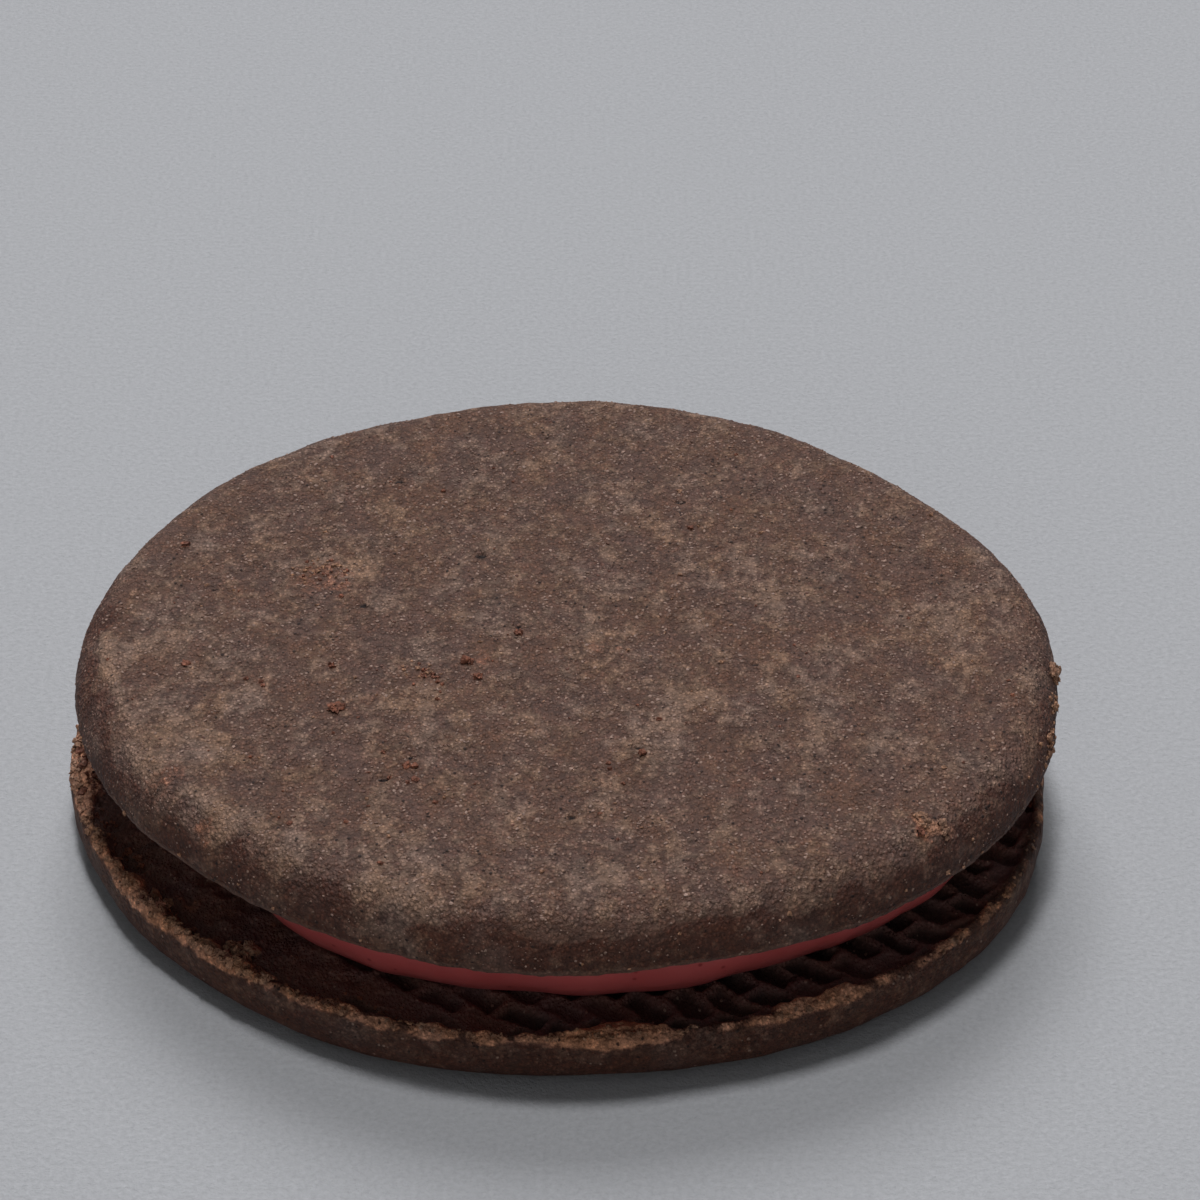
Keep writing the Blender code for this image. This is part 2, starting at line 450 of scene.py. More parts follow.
upperSkin = {
    "rolledOut": 0.75,           # marks are this much shorter across than along the rolling
    "flakes": 2.2 * mm,
    "flakeDrift": 9 * mm,        # over which there are more flakes or fewer
    "bandTop": 0.74,             # the dark band begins where the normal's height is this, and
    "bandFull": 0.60,            # is full here
    "raggedFine": 2.0 * mm,
    "raggedBroad": 5.5 * mm,
    "bandClouds": 4.5 * mm,
    "faceClouds": 4 * mm,
}

# patches that stand out on the upper face: x, y, reach in mm
upperPatches = (
    (-23.0, -14.0, 3.6), (-26.5, -17.5, 2.6), (-21.5, -22.5, 3.0), (-16.5, -27.0, 3.0),
    (-9.5, -29.0, 3.2), (2.0, -28.0, 3.2), (-9.5, -10.0, 2.4), (2.0, -2.0, 3.0),
    (9.0, -8.5, 2.0), (23.5, -21.8, 1.6), (15.5, -13.5, 2.2), (24.5, 1.5, 3.0),
    (13.0, 3.0, 2.6), (-15.0, 9.0, 2.8), (-27.0, 3.0, 2.2), (-27.0, -1.5, 2.4), (-30.4, -3.5, 2.0),
    (25.5, -15.0, 2.0), (5.0, -11.0, 1.6), (-22.0, -8.5, 1.8), (11.0, 8.0, 2.4),
)


# long flakes that follow the upper edge: direction and half length in degrees, radius and half width in mm
upperScuffs = ((184, 5, 30.9, 0.45), (194, 4, 30.4, 0.4), (222, 5, 30.2, 0.5), (250, 4, 30.6, 0.4))


# where the skin on the edge is darkest and reaches farther up: x, y, reach in mm
darkSkinSpots = ((-15.0, -27.7, 3.4), (-20.4, -24.0, 2.4), (-30.5, -8.0, 2.2), (-31.5, 2.0, 2.4))


def darkSkin(place):
    # 1 in the middle of such a spot
    return max(ramp(math.hypot(place.x / mm - x, place.y / mm - y), reach, 0.3 * reach)
               for x, y, reach in darkSkinSpots)


def flakeOnUpper(place, normal):
    # how far the thin skin has flaked: all over a little, most on the patches and scuffs
    rolled = Vector((place.x, upperSkin["rolledOut"] * place.y, place.z))
    field = 0.26 + 0.42 * blotch(rolled, upperSkin["flakes"], 5, 2.3)
    field += 0.16 * blotch(rolled, upperSkin["flakeDrift"], 2, 7.1)
    out = math.hypot(place.x, place.y) / mm
    angle = math.degrees(math.atan2(place.y, place.x)) % 360
    for direction, length, radius, width in upperScuffs:
        away = abs((angle - direction + 180) % 360 - 180) / length
        if away < 1.5 and abs(out - radius) < 3 * width:
            frayed = abs(out - radius) / width + 0.5 * blotch(place, 0.8 * mm, 3, 3.7)
            field += 0.55 * ramp(away, 1.4, 0.7) * ramp(frayed, 1.3, 0.9)
    for x, y, reach in upperPatches:
        distance = math.hypot(place.x / mm - x, place.y / mm - y) / reach
        if distance < 1.5:
            field += 0.30 * ramp(distance, 1.5, 0.2)
    field -= 0.40 * darkSkin(place)
    return field * ramp(normal.z, -0.3, 0.0) * (0.7 + 0.3 * ramp(normal.z, 0.6, 0.9))


def shadeOnUpper(place, normal):
    # the round of the edge is darker, up to a ragged line: partly smoother, darker skin, partly painted shade
    # where the surface turns down from the light above
    ragged = 0.12 * blotch(place, upperSkin["raggedFine"], 3, 4.9)
    ragged += 0.30 * blotch(place, upperSkin["raggedBroad"], 2, 9.9)
    ragged -= 0.07 * ramp(place.x, -20 * mm, -28 * mm)           # a little wider on the left
    ragged -= 0.25 * darkSkin(place)
    # painted shade, full where the surface has turned down far enough
    band = ramp(normal.z + ragged, upperSkin["bandTop"], upperSkin["bandFull"]) * ramp(normal.z, -0.30, 0.02)
    bandSkinAndShade = 0.82 + 0.16 * ramp(place.x, 12 * mm, 20 * mm)      # stronger on the right: painted shadow, as cast by a neighbour on that side
    bandSkinAndShade += 0.40 * blotch(place, upperSkin["bandClouds"], 2, 4.4)
    return bandSkinAndShade * band + 0.28 * blotch(place, upperSkin["faceClouds"], 3, 1.4)


# where the upper skin is chipped down to the crumb: x, y, reach and how much, in mm
chipSpots = (
    (-16.8, 6.6, 2.1, 0.45), (22.9, -22.1, 1.1, 0.9), (24.1, -21.9, 0.6, 0.6), (-9.5, -5.2, 1.3, 0.30),
    (-5.6, -3.6, 0.8, 0.35), (2.4, -2.3, 1.5, 0.25), (-10.2, -11.0, 1.3, 0.25), (-25.2, -17.0, 1.7, 0.40),
    (-22.6, -21.7, 1.0, 0.40),
)


def brokenOnUpper(place, normal):
    weight = 0.0
    for x, y, reach, amount in chipSpots:
        distance = math.hypot(place.x / mm - x, place.y / mm - y)
        if distance < 2 * reach:
            ragged = 0.5 * reach * blotch(place, 0.9 * mm, 4, x)
            weight = max(weight, amount * ramp(distance + ragged, 1.3 * reach, 0.4 * reach))
    return weight


# small holes where a bubble broke: x, y, reach in mm
pitSpots = (
    (4.8, -13.8, 0.45), (-10.0, -14.8, 0.35), (-11.5, -17.3, 0.40), (-14.0, 3.3, 0.40), (-3.2, 0.6, 0.35),
    (-6.0, 9.5, 0.40), (12.5, -4.0, 0.30), (18.0, 9.0, 0.40), (-24.0, 5.5, 0.30), (8.0, 17.0, 0.40),
    (-12.0, 19.5, 0.35), (20.5, -9.0, 0.30), (0.5, -21.5, 0.35), (-19.0, -11.5, 0.25), (15.0, -19.0, 0.25),
)


def pitWeight(place, normal):
    weight = 0.0
    for x, y, reach in pitSpots:
        distance = math.hypot(place.x / mm - x, (place.y / mm - y) * 1.3)
        if distance < 1.0:
            ragged = 0.25 * blotch(place, 0.5 * mm, 2, x)
            weight = max(weight, ramp(distance + ragged, 1.4 * reach, 0.2 * reach))
    return weight * ramp(normal.z, 0.0, 0.5)


upper = biscuitBlank("upperBiscuit", biscuitShape["upperEdge"])
upperMiddle = takeOutline(upper, "upper_biscuit", biscuitShape["radius"])
refine(upper, biscuitShape["grid"])
clearHidden(upper, -1)
paintGroup(upper, "flake", flakeOnUpper)
paintGroup(upper, "shade", shadeOnUpper)
paintGroup(upper, "lip", lambda place, normal:
           ramp(math.hypot(place.x, place.y), 30.5 * mm, 32.3 * mm) * ramp(place.z, 2.2 * mm, 0.6 * mm))
paintGroup(upper, "tray", lambda place, normal: ramp(-normal.z, 0.6, 0.9)
           * ramp(math.hypot(place.x, place.y), 31.6 * mm, 30.9 * mm) * slotWeight(place))
paintGroup(upper, "deep", pitWeight)
paintGroup(upper, "broken", brokenOnUpper)
addRelief(upper, "CLOUDS", 9 * mm, 0.40 * mm, noise_depth=1)                # broad, soft dents
addRelief(upper, "CLOUDS", 2.0 * mm, 0.16 * mm, noise_depth=3)              # dimples of rolled dough
addRelief(upper, "CLOUDS", 0.8 * mm, 0.10 * mm, noise_depth=2)              # grit under the skin
addRelief(upper, "CLOUDS", 1.3 * mm, 0.16 * mm, "lip", noise_depth=2)       # uneven cut at the bottom
addRelief(upper, "VORONOI", 0.7 * mm, 0.28 * mm, "broken")                  # crumb in the chips
pushGroup(upper, "flake", 0.10 * mm)
pushGroup(upper, "deep", -0.30 * mm)
pushGroup(upper, "tray", 0.7 * matWeave["depth"], "Z")                      # up, as its tray faces down
settle(upper, Vector((upperMiddle.x, upperMiddle.y, biscuitShape["thickness"] + biscuitShape["gap"])),
       biscuitShape["upperTilt"])
print("upper biscuit:", len(upper.data.polygons), "faces")


def trayZone(place, normal):
    # 1 on what faces up inside the rim
    out = math.hypot(place.x, place.y)
    return ramp(out, 32.4 * mm, 32.0 * mm) * ramp(normal.z, 0.3, 0.8)


def slotOnLower(place, normal):
    # the print is deep on the right, faint where the dough slid over the mat on the left
    faint = 0.25 + 0.75 * ramp(place.x + 12 * mm * blotch(place, 8 * mm, 2, 3.3), -18 * mm, 12 * mm)
    hollows = 0.2 * ramp(place.x, -4 * mm, -18 * mm) * ramp(blotch(place, 2.4 * mm, 3, 6.6), -0.3, 0.5)
    printed = max(slotWeight(place) * faint, hollows)
    return trayZone(place, normal) * printed * (1 - brokenOnLower(place, normal))


lowerSkin = {
    "rimStart": 31.7 * mm,       # the skin is whole inside this radius
    "rimFull": 32.7 * mm,        # and gone outside this one
    "ragged": 1.7 * mm,
    "raggedBroad": 5 * mm,
    "tears": 1.8 * mm,           # on the side that slid
    "sideFlakes": 3.0 * mm,
}

# where the rim is broken wider or, below 0, less wide: direction and spread in degrees, width in mm
brokenRim = (
    (182, 16, 1.1), (212, 9, 0.7), (229, 7, 0.9), (246, 5, 0.3), (277, 9, 1.5), (289, 6, -0.4), (298, 5, 0.5),
    (310, 9, -0.55), (320, 3, 0.7), (329, 3, 0.45), (340, 36, -0.65), (60, 25, 0.4), (120, 30, 0.6),
    (95, 70, -0.45),
)


def slidOnLower(place, normal):
    # on the left the dough slid and tore a little instead of taking the print
    return trayZone(place, normal) * ramp(place.x, -2 * mm, -20 * mm)


def brokenOnLower(place, normal):
    # the rim's skin is broken off along its top edge
    out = math.hypot(place.x, place.y)
    angle = math.degrees(math.atan2(place.y, place.x)) % 360
    wide = sum(reach * ramp(abs((angle - turn + 180) % 360 - 180), spread, 0)
               for turn, spread, reach in brokenRim)
    ragged = 0.7 * blotch(place, lowerSkin["ragged"], 5, 1.9)
    ragged = (ragged + 0.3 * blotch(place, lowerSkin["raggedBroad"], 2, 8.3)) * mm
    inner = ramp(out + ragged + wide * mm, lowerSkin["rimStart"], lowerSkin["rimFull"])
    tears = ramp(blotch(place, lowerSkin["tears"], 4, 5.2), 0.1, 0.8)
    inner = max(inner, 0.55 * slidOnLower(place, normal) * tears)
    outer = ramp(place.z + 0.4 * ragged + 0.3 * wide * mm, -0.60 * mm, -0.15 * mm)
    return inner * outer


def flakeOnLower(place, normal):
    side = 0.30 + 0.35 * blotch(place, lowerSkin["sideFlakes"], 4, 5.5)
    walls = trayZone(place, normal) * (1 - slotWeight(place))
    return max(side * ramp(-place.z, 3.6 * mm, 0.6 * mm), 0.2 * walls)


lower = biscuitBlank("lowerBiscuit", biscuitShape["lowerEdge"])
settle(lower, Vector((0, 0, 0)), math.pi)
refine(lower, biscuitShape["grid"])
clearHidden(lower, 1)
paintGroup(lower, "broken", brokenOnLower)
paintGroup(lower, "flake", flakeOnLower)
paintGroup(lower, "shade", lambda place, normal: 0.8 - 0.4 * trayZone(place, normal))
paintGroup(lower, "moulded", lambda place, normal:
           trayZone(place, normal) * (1 - 0.3 * slidOnLower(place, normal)))
paintGroup(lower, "tray", slotOnLower)
paintGroup(lower, "slid", slidOnLower)
paintGroup(lower, "wall", lambda place, normal: brokenOnLower(place, normal) * trayZone(place, normal)
           * ramp(math.hypot(place.x, place.y), 30.5 * mm, 31.5 * mm))
paintGroup(lower, "side", lambda place, normal: ramp(place.z, -3.7 * mm, -3.0 * mm))
addRelief(lower, "CLOUDS", 5 * mm, 0.25 * mm, "side", noise_depth=1)        # broad, soft dents
addRelief(lower, "CLOUDS", 1.6 * mm, 0.10 * mm, "side", noise_depth=3)      # dimples
addRelief(lower, "CLOUDS", 2.2 * mm, 0.45 * mm, "broken", noise_depth=3)    # the rim's crumb: lumps,
addRelief(lower, "VORONOI", 0.8 * mm, 0.22 * mm, "broken")                  # broken faces
addRelief(lower, "CLOUDS", 0.45 * mm, 0.25 * mm, "broken", noise_depth=2)   # and grit
pushGroup(lower, "tray", -matWeave["depth"], "Z")
pushGroup(lower, "wall", 0.32 * mm, "Z")                                    # what stands highest
addRelief(lower, "CLOUDS", 0.6 * mm, 0.16 * mm, "moulded", noise_depth=2)   # the print's own grit
addRelief(lower, "CLOUDS", 1.6 * mm, 0.50 * mm, "slid", noise_depth=3)      # where the dough tore
addRelief(lower, "VORONOI", 0.9 * mm, 0.30 * mm, "slid")
lowerMiddle = takeOutline(lower, "lower_biscuit", biscuitShape["radius"])
settle(lower, Vector((lowerMiddle.x, lowerMiddle.y, biscuitShape["thickness"])))
print("lower biscuit:", len(lower.data.polygons), "faces")

cocoa = bakedCocoaDough("bakedCocoaDough", cocoaLook)
finishPiece(upper, cocoa, "upper_biscuit")
finishPiece(lower, cocoa, "lower_biscuit")

# crumbs: bits of the same dough that came off and stuck again

crumbShape = {"lumps": 4, "rough": 0.75, "flat": 0.65, "sink": 0.22, "sharp": math.radians(38)}


def crumbMaster(number):
    # one lump of a few dozen faces, a millimetre across, broken and uneven
    bpy.ops.mesh.primitive_cube_add(size=0.9 * mm, location=(0, 0, 0))
    lump = startPiece(f"lump{number}")
    bpy.ops.mesh.select_all(action="SELECT")
    bpy.ops.mesh.subdivide(number_cuts=2)
    bpy.ops.transform.tosphere(value=0.55)
    bpy.ops.object.mode_set(mode="OBJECT")
    for vert in lump.data.vertices:
        vert.co *= 1 + crumbShape["rough"] * blotch(vert.co, 0.38 * mm, 3, 3.1 * number + 1.7)
    return lump


def scatter(name, masters, spots, shape, material):
    # copies of small lumps, each turned and squeezed by chance, in one mesh; spots hold a place,
    # the surface's normal there and a size in metres
    chance = random.Random(len(spots))
    joined = bmesh.new()
    for place, normal, size in spots:
        copy = chance.choice(masters).data.copy()
        turn = Euler([chance.uniform(0, math.tau) for axis in range(3)]).to_matrix().to_4x4()
        squeeze = Matrix.Diagonal((chance.uniform(0.8, 1.25), chance.uniform(0.7, 1.1), shape["flat"], 1))
        lean = normal.to_track_quat("Z", "Y").to_matrix().to_4x4()
        lift = place + normal * size * (0.5 * shape["flat"] - shape["sink"])
        copy.transform(Matrix.Translation(lift) @ lean @ squeeze @ turn @ Matrix.Scale(size / mm, 4))
        joined.from_mesh(copy)
        bpy.data.meshes.remove(copy)
    for master in masters:
        bpy.data.objects.remove(master)
    piece = bpy.data.objects.new(name, bpy.data.meshes.new(name))
    bpy.context.collection.objects.link(piece)
    joined.to_mesh(piece.data)
    joined.free()
    finishPiece(piece, material)
    bpy.ops.object.shade_smooth_by_angle(angle=shape["sharp"])
    print(name + ":", len(spots), "lumps,", len(piece.data.polygons), "faces")


farOff = 50 * mm         # clear of the whole cookie


def fallOn(piece, x, y):
    # where something dropped from above lands on a piece
    hit, place, normal, face = piece.ray_cast(Vector((x, y, farOff)), Vector((0, 0, -1)))
    return (place, normal) if hit else None


def throwAt(piece, direction, height):
    # where something thrown level towards the middle meets a piece
    start = Vector((farOff * math.cos(direction), farOff * math.sin(direction), height))
    hit, place, normal, face = piece.ray_cast(start, Vector((-start.x, -start.y, 0)).normalized())
    return (place, normal) if hit else None


# on the upper face: x, y, spread, how many, smallest and largest size, all in mm
darkCrumbSpots = (
    (-14.6, -9.3, 0.2, 2, 0.60, 0.80), (-6.2, -3.9, 0.4, 4, 0.40, 0.75), (-2.9, -0.4, 0.3, 2, 0.45, 0.60),
    (-5.5, -6.0, 0.3, 2, 0.45, 0.60), (-9.4, -15.8, 0.3, 2, 0.40, 0.60), (5.3, -14.7, 0.2, 1, 0.50, 0.55),
    (-15.3, -4.4, 0.2, 1, 0.50, 0.55), (-24.9, -4.2, 0.2, 1, 0.50, 0.55), (-8.3, -5.7, 1.2, 7, 0.25, 0.45),
    (-16.5, 7.0, 2.0, 12, 0.16, 0.32), (-26.1, 10.7, 0.2, 1, 0.45, 0.50), (-19.9, -6.2, 0.9, 3, 0.30, 0.42),
    (22.6, -22.9, 0.3, 2, 0.35, 0.60), (-9.8, -17.4, 1.0, 3, 0.30, 0.45), (0.0, 0.0, 31.0, 60, 0.15, 0.34),
)
paleCrumbSpots = (
    (23.0, -21.9, 0.6, 6, 0.25, 0.60), (24.3, -22.1, 0.5, 5, 0.25, 0.60), (-16.6, 7.2, 2.1, 26, 0.14, 0.28),
    (-9.5, -5.0, 1.3, 10, 0.16, 0.30), (0.0, 0.0, 31.0, 60, 0.15, 0.28),
)
# on the upper edge: direction and height in degrees and mm, spread in both, how many, sizes in mm
edgeCrumbSpots = (
    (-4, 11.6, 2, 0.5, 9, 0.30, 0.90), (-12, 11.3, 5, 0.8, 12, 0.20, 0.50),
    (-18, 10.8, 2, 0.5, 6, 0.25, 0.60), (75, 11.0, 60, 1.2, 30, 0.16, 0.38),
    (-90, 10.6, 80, 1.2, 26, 0.16, 0.32),
)
# along the lower rim: direction and spread in degrees, nearest and farthest from the edge, how many,
# smallest and largest size in mm
rimCrumbSpots = (
    (183, 18, 0.05, 0.9, 130, 0.16, 0.50), (214, 13, 0.05, 0.9, 50, 0.18, 0.50),
    (229, 6, 0.05, 0.9, 55, 0.20, 0.70), (250, 14, 0.05, 0.8, 34, 0.16, 0.40),
    (277, 9, 0.05, 1.2, 30, 0.16, 0.40), (299, 5, 0.05, 0.6, 12, 0.18, 0.45),
    (318, 3, 0.05, 0.8, 12, 0.18, 0.45), (329, 3, 0.05, 0.8, 10, 0.18, 0.45),
    (345, 16, 0.05, 0.6, 14, 0.15, 0.30), (228.3, 1.8, 1.3, 2.5, 11, 0.60, 1.15),
    (214.3, 1.6, 1.1, 2.2, 8, 0.50, 0.90), (60, 22, 0.05, 0.8, 50, 0.16, 0.45),
    (120, 26, 0.05, 0.9, 70, 0.16, 0.50), (90, 75, 0.05, 0.6, 50, 0.15, 0.32),
)
# broken bits lying inside the lower rim: direction and spread in degrees, nearest and farthest from
# the edge in mm, how many, smallest and largest size in mm
trayCrumbSpots = (
    (180, 10, 0.3, 2.8, 60, 0.22, 0.65), (196, 10, 0.5, 3.2, 36, 0.20, 0.50),
    (217, 4, 0.5, 1.9, 26, 0.22, 0.60), (230, 3, 0.4, 1.7, 22, 0.22, 0.60),
    (240, 14, 0.5, 3.0, 16, 0.18, 0.36), (0, 14, 0.4, 2.2, 24, 0.20, 0.50),
)


def spotsOnFace(piece, table, seed):
    chance = random.Random(seed)
    spots = []
    for x, y, spread, count, small, large in table:
        for number in range(count):
            out, turn = spread * math.sqrt(chance.random()), chance.uniform(0, math.tau)
            found = fallOn(piece, (x + out * math.cos(turn)) * mm, (y + out * math.sin(turn)) * mm)
            size = (small + (large - small) * chance.random() ** 2) * mm
            if found:
                spots.append((*found, size))
    return spots


def spotsOnEdge(piece, table, seed):
    chance = random.Random(seed)
    spots = []
    for direction, height, turnSpread, heightSpread, count, small, large in table:
        for number in range(count):
            turn = math.radians(direction + turnSpread * chance.uniform(-1, 1))
            found = throwAt(piece, turn, (height + heightSpread * chance.uniform(-1, 1)) * mm)
            size = (small + (large - small) * chance.random() ** 2) * mm
            if found:
                spots.append((*found, size))
    return spots


def spotsOnRim(piece, table, seed):
    # dropped on the rim's top edge, or just inside it
    chance = random.Random(seed)
    spots = []
    for direction, spread, near, far, count, small, large in table:
        for number in range(count):
            turn = math.radians(direction + spread * chance.uniform(-1, 1))
            edge = throwAt(piece, turn, biscuitShape["thickness"] - 0.5 * mm)
            size = (small + (large - small) * chance.random() ** 2) * mm
            inside = chance.triangular(near, far, near + 0.25 * (far - near)) * mm
            if edge:
                out = math.hypot(edge[0].x, edge[0].y) - inside
                found = fallOn(piece, out * math.cos(turn), out * math.sin(turn))
                if found:
                    spots.append((*found, size))
    return spots


paleLook = dict(cocoaLook, dough="#b08468", flake="#c9a287", shade="#7f5946", pit="#3a2219")
darkLook = dict(cocoaLook, dough="#8a5743", flake="#a3705a", shade="#5a3022", pit="#2a140e")
paleDough = bakedCocoaDough("paleCrumbDough", paleLook)
darkDough = bakedCocoaDough("toastedCrumbDough", darkLook)


def crumbMasters():
    return [crumbMaster(number) for number in range(crumbShape["lumps"])]


scatter("darkCrumbs", crumbMasters(), spotsOnFace(upper, darkCrumbSpots, 5), crumbShape, darkDough)
scatter("paleCrumbs", crumbMasters(), spotsOnFace(upper, paleCrumbSpots, 6)
        + spotsOnEdge(upper, edgeCrumbSpots, 7), crumbShape, paleDough)
scatter("rimCrumbs", crumbMasters(), spotsOnRim(lower, rimCrumbSpots, 8), crumbShape, paleDough)
scatter("trayCrumbs", crumbMasters(), spotsOnRim(lower, trayCrumbSpots, 9), crumbShape, darkDough)

# meal: coarse grains of flour and cocoa that stand out of the skin all over the upper biscuit

mealShape = {
    "lumps": 3,
    "rough": 0.5,
    "flat": 0.6,
    "sink": 0.26,
    "sharp": math.radians(60),
    "small": 0.13,           # mm
    "large": 0.30,
    "pale": 6000,            # how many were tried on the face
    "plain": 8000,
    "dark": 500,
    "onEdge": 0.14,          # and how many more on the edge, as a share of that
    "reach": 32.6 * mm,
    "edgeHeights": (9.9 * mm, 13.0 * mm),
}

mealLook = {
    "drift": 0.5 * mm,
    "tones": (0.75, 1.25),
    "pale": "#927668",
    "plain": "#795e50",
    "dark": "#603c2f",
    "roughness": 0.65,
}


def mealMasters():
    lumps = []
    for number in range(mealShape["lumps"]):
        bpy.ops.mesh.primitive_ico_sphere_add(subdivisions=1, radius=0.5 * mm, location=(0, 0, 0))
        lump = bpy.context.active_object
        for vert in lump.data.vertices:
            vert.co *= 1 + mealShape["rough"] * blotch(vert.co, 0.5 * mm, 2, 2.3 * number + 0.9)
        lumps.append(lump)
    return lumps


def mealSpots(piece, count, seed):
    # denser where the skin is rough, with bare places between
    chance = random.Random(seed)
    spots = []
    for number in range(int(count * (1 + mealShape["onEdge"]))):
        turn = chance.uniform(0, math.tau)
        if number < count:
            out = mealShape["reach"] * math.sqrt(chance.random())
            found = fallOn(piece, out * math.cos(turn), out * math.sin(turn))
        else:
            found = throwAt(piece, turn, chance.uniform(*mealShape["edgeHeights"]))
        share = 0.6 + 0.9 * blotch(found[0], 2.6 * mm, 3, 6.2) if found else 0
        size = mealShape["small"] + (mealShape["large"] - mealShape["small"]) * chance.random() ** 2
        if chance.random() < share:
            # finer on the edge, where the dough was rolled smooth
            spots.append((*found, size * mm * (0.6 + 0.4 * ramp(found[1].z, 0.75, 0.97))))
    return spots


def cocoaMeal(name, colour):
    # dry grains, one even tone each side of the dough's own
    material = newMaterial(name)
    place = addNode(material, "TexCoord").outputs["Object"]
    drift = addNode(material, "TexNoise", None, {
        "Vector": place, "Scale": 1 / mealLook["drift"], "Detail": 2}).outputs["Fac"]
    tone = addNode(material, "MapRange", None, {
        "Value": drift, "From Min": 0.3, "From Max": 0.7,
        "To Min": mealLook["tones"][0], "To Max": mealLook["tones"][1]}).outputs[0]
    colour = addNode(material, "VectorMath", {"operation": "SCALE"}, {
        0: linearColour(colour)[:3], "Scale": tone}).outputs[0]
    shader = addNode(material, "BsdfPrincipled", None, {
        "Base Color": colour, "Roughness": mealLook["roughness"], "IOR": 1.45})
    addNode(material, "OutputMaterial", None, {"Surface": shader.outputs[0]})
    return material


scatter("paleMeal", mealMasters(), mealSpots(upper, mealShape["pale"], 11), mealShape,
        cocoaMeal("paleCocoaMeal", mealLook["pale"]))
scatter("plainMeal", mealMasters(), mealSpots(upper, mealShape["plain"], 13), mealShape,
        cocoaMeal("plainCocoaMeal", mealLook["plain"]))
scatter("darkMeal", mealMasters(), mealSpots(upper, mealShape["dark"], 12), mealShape,
        cocoaMeal("darkCocoaMeal", mealLook["dark"]))

# the cream

creamShape = {
    "sidesRound": 128,
    "sink": 0.35 * mm,       # how far it is pressed into both trays
    "bulge": 1.3 * mm,       # its side swells out between the biscuits
    "bands": 7,
    "corner": 0.5 * mm,
    "grid": 0.42 * mm,
    "sweep": 4 * mm,
    "swell": 0.35 * mm,
}

creamLook = {
    "cream": "#bf5c5a",
    "deep": "#a44644",
    "speck": "#7c1c20",
    "swirl": 3.0 * mm,
    "speckSpacing": 0.8 * mm,
    "speckShare": 0.30,      # of the places where a speck could be
    "ripple": 0.6 * mm,
    "rippleHeight": 0.05 * mm,
    "roughness": 0.38,
    "inward": 0.35,          # share of the light that goes in
    "depth": 1.2 * mm,       # and how far
}

creamLow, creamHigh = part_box("cream")
creamRadius = (creamHigh.x - creamLow.x) / 2
creamThick = creamHigh.z - creamLow.z + 2 * creamShape["sink"] - 0.5 * mm
straightRadius = creamRadius - creamShape["bulge"]
bpy.ops.mesh.primitive_cylinder_add(vertices=creamShape["sidesRound"], radius=straightRadius,
                                    depth=creamThick, location=(0, 0, 0))
cream = startPiece("creamLayer")
for height in (creamThick / 2, -creamThick / 2):
    selectRing(cream, height)
    bpy.ops.mesh.bevel(offset=creamShape["corner"], segments=2, profile=0.5)
straight = creamThick - 2 * creamShape["corner"]
bpy.ops.mesh.select_mode(type="EDGE")
bpy.ops.mesh.select_all(action="DESELECT")
shape = bmesh.from_edit_mesh(cream.data)
for edge in shape.edges:
    edge.select_set(abs(edge.verts[0].co.z - edge.verts[1].co.z) > 0.9 * straight)
bmesh.update_edit_mesh(cream.data)
bpy.ops.mesh.subdivide(number_cuts=creamShape["bands"])
for band in range(creamShape["bands"]):
    share = (band + 1) / (creamShape["bands"] + 1)
    selectRing(cream, straight * (share - 0.5))
    wider = 1 + creamShape["bulge"] * math.sin(math.pi * share) ** 0.7 / straightRadius
    bpy.ops.transform.resize(value=(wider, wider, 1))
bpy.ops.object.mode_set(mode="OBJECT")
creamMiddle = takeOutline(cream, "cream", creamRadius)
refine(cream, creamShape["grid"])
paintGroup(cream, "side", lambda place, normal: ramp(math.hypot(place.x, place.y), 22 * mm, 26 * mm))
addRelief(cream, "CLOUDS", creamShape["sweep"], creamShape["swell"], "side", noise_depth=0)
addRelief(cream, "CLOUDS", 1.7 * mm, 0.07 * mm, "side", noise_depth=1)
settle(cream, Vector((creamMiddle.x, creamMiddle.y, creamMiddle.z - 0.1 * mm)), biscuitShape["upperTilt"] / 2)


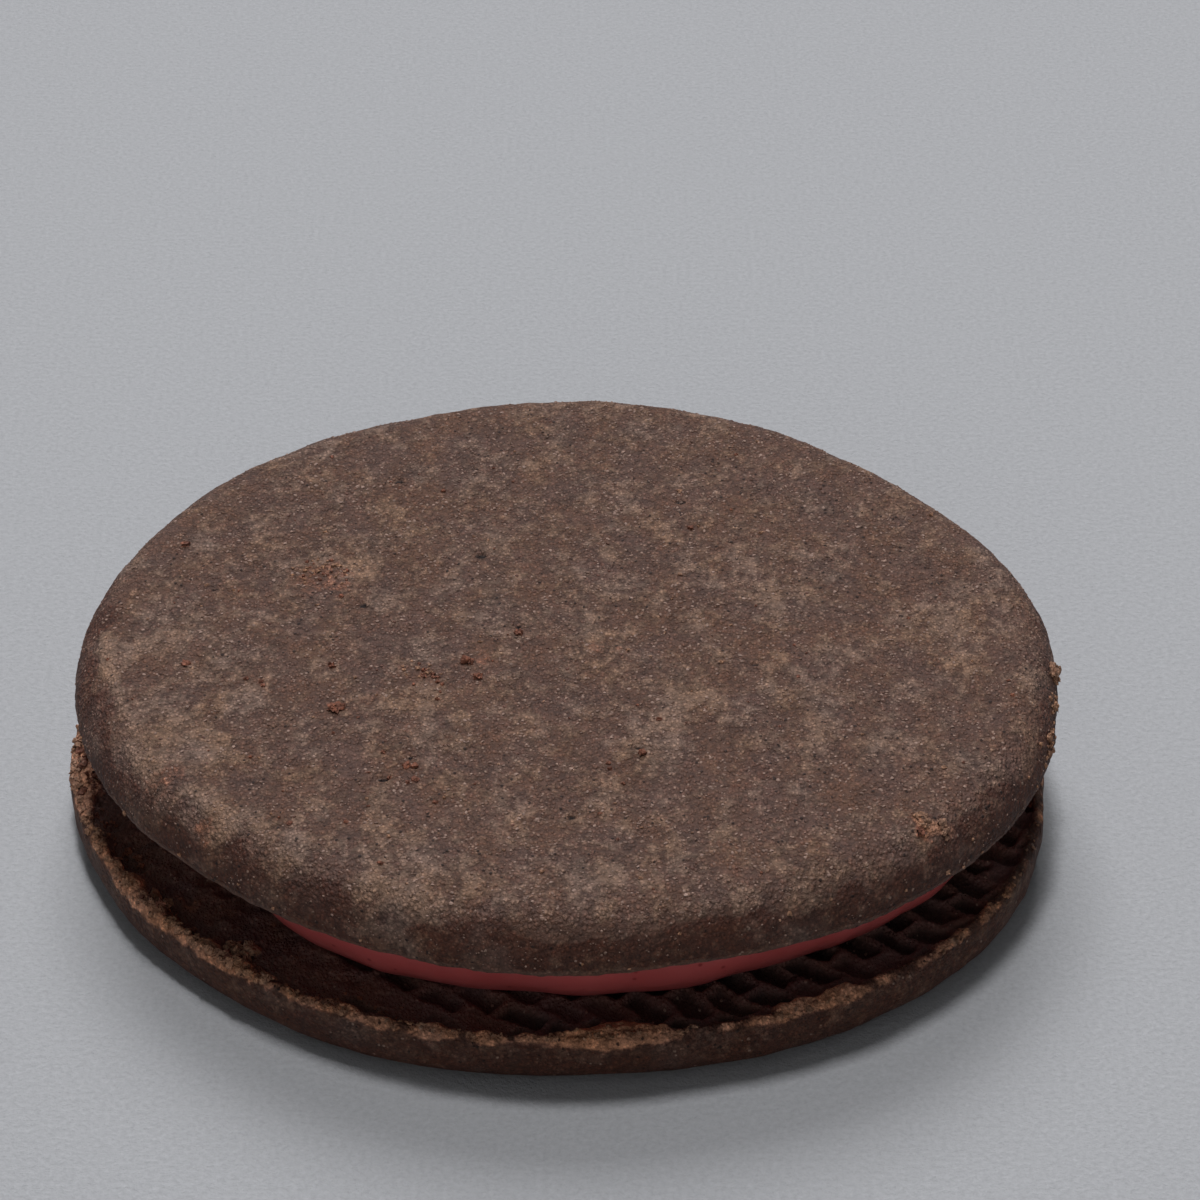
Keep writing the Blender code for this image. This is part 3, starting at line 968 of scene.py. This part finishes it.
def pinkFruitCream(look):
    # sugar, butter and fruit beaten smooth: satin, a little light goes in, with ground fruit as specks
    material = newMaterial("pinkFruitCream")
    place = addNode(material, "TexCoord").outputs["Object"]
    drift = addNode(material, "TexNoise", None, {
        "Vector": place, "Scale": 1 / look["swirl"], "Detail": 3}).outputs["Fac"]
    colour = addNode(material, "Mix", {"data_type": "RGBA"}, {
        0: drift, 6: linearColour(look["deep"]), 7: linearColour(look["cream"])}).outputs[2]
    cells = addNode(material, "TexVoronoi", None, {"Vector": place, "Scale": 1 / look["speckSpacing"]})
    chance = addNode(material, "SeparateColor", None, {"Color": cells.outputs["Color"]})
    chosen = addNode(material, "Math", {"operation": "LESS_THAN"}, {
        0: chance.outputs["Red"], 1: look["speckShare"]}).outputs[0]
    near = addNode(material, "MapRange", {"interpolation_type": "SMOOTHSTEP"}, {
        "Value": cells.outputs["Distance"], "From Min": 0.26, "From Max": 0.08,
        "To Max": 0.8}).outputs[0]
    speck = addNode(material, "Math", {"operation": "MULTIPLY"}, {0: near, 1: chosen}).outputs[0]
    colour = addNode(material, "Mix", {"data_type": "RGBA"}, {
        0: speck, 6: colour, 7: linearColour(look["speck"])}).outputs[2]
    ripple = addNode(material, "TexNoise", None, {
        "Vector": place, "Scale": 1 / look["ripple"], "Detail": 2}).outputs["Fac"]
    bump = addNode(material, "Bump", None, {
        "Strength": 0.5, "Distance": look["rippleHeight"], "Height": ripple}).outputs[0]
    shader = addNode(material, "BsdfPrincipled", None, {
        "Base Color": colour, "Roughness": look["roughness"], "IOR": 1.46,
        "Subsurface Weight": look["inward"], "Subsurface Radius": (1.0, 0.35, 0.25),
        "Subsurface Scale": look["depth"], "Normal": bump})
    addNode(material, "OutputMaterial", None, {"Surface": shader.outputs[0]})
    return material


finishPiece(cream, pinkFruitCream(creamLook), "cream")
print("cream:", len(cream.data.polygons), "faces")

# the surface that it lies on, the light and the camera

studio = {
    "floorSide": 3.0,
    "floor": "#adaeb0",
    "fibre": 0.40 * mm,
    "fibreHeight": 0.16 * mm,
    "fibreTones": (0.90, 1.10),
    "sky": "#eef1f4",
    "skyStrength": 0.14,
    # every light: direction it comes from and height over the board in degrees, distance, side, watts
    "keyLight": (112, 86.5, 1.2, 0.15, 6.4),
    "backLight": (94, 48, 3.2, 1.50, 65.5),
    "frontFill": (262, 12, 1.5, 0.80, 3.1),
    "lightColour": "#fcfcff",
}

view = {
    "elevation": math.radians(31.9),
    "distance": 311.4 * mm,
    "aim": (2.7 * mm, 25.3 * mm, 0.0),
    "lens": 126.0,
}


def paleBoard(look):
    # uncoated grey card: matte, with a fine felt of fibres
    material = newMaterial("paleBoard")
    place = addNode(material, "TexCoord").outputs["Object"]
    grain = addNode(material, "TexNoise", None, {
        "Vector": place, "Scale": 1 / look["fibre"], "Detail": 4, "Roughness": 0.7}).outputs["Fac"]
    bump = addNode(material, "Bump", None, {
        "Strength": 1.0, "Distance": look["fibreHeight"], "Height": grain}).outputs[0]
    # painted shade in the hollows between its fibres, painted light on their tops
    tone = addNode(material, "MapRange", None, {
        "Value": grain, "From Min": 0.3, "From Max": 0.7,
        "To Min": look["fibreTones"][0], "To Max": look["fibreTones"][1]}).outputs[0]
    colour = addNode(material, "VectorMath", {"operation": "SCALE"}, {
        0: linearColour(look["floor"])[:3], "Scale": tone}).outputs[0]
    shader = addNode(material, "BsdfPrincipled", None, {
        "Base Color": colour, "Roughness": 0.8, "Specular IOR Level": 0.10, "Normal": bump})
    addNode(material, "OutputMaterial", None, {"Surface": shader.outputs[0]})
    return material


bpy.ops.mesh.primitive_plane_add(size=studio["floorSide"], location=(0, 0, 0))
floor = bpy.context.active_object
floor.name = "board"
floor.data.materials.append(paleBoard(studio))

world = bpy.data.worlds.new("softSky")
world.use_nodes = True
world.node_tree.nodes["Background"].inputs["Color"].default_value = linearColour(studio["sky"])
world.node_tree.nodes["Background"].inputs["Strength"].default_value = studio["skyStrength"]
bpy.context.scene.world = world

for lightName in ("keyLight", "backLight", "frontFill"):
    direction, height, distance, side, watts = studio[lightName]
    direction, height = math.radians(direction), math.radians(height)
    away = Vector((math.cos(direction) * math.cos(height), math.sin(direction) * math.cos(height),
                   math.sin(height)))
    bpy.ops.object.light_add(type="AREA", location=away * distance)
    light = bpy.context.active_object
    light.name = lightName
    light.data.size = side
    light.data.energy = watts
    light.data.color = linearColour(studio["lightColour"])[:3]
    light.rotation_euler = away.to_track_quat("Z", "Y").to_euler()

sightLine = Vector((0, math.cos(view["elevation"]), -math.sin(view["elevation"])))
bpy.ops.object.camera_add(location=Vector(view["aim"]) - sightLine * view["distance"])
camera = bpy.context.active_object
camera.name = "camera"
camera.data.lens = view["lens"]
camera.data.sensor_width = 36.0
camera.data.clip_start = 0.01
camera.rotation_euler = sightLine.to_track_quat("-Z", "Y").to_euler()
bpy.context.scene.camera = camera
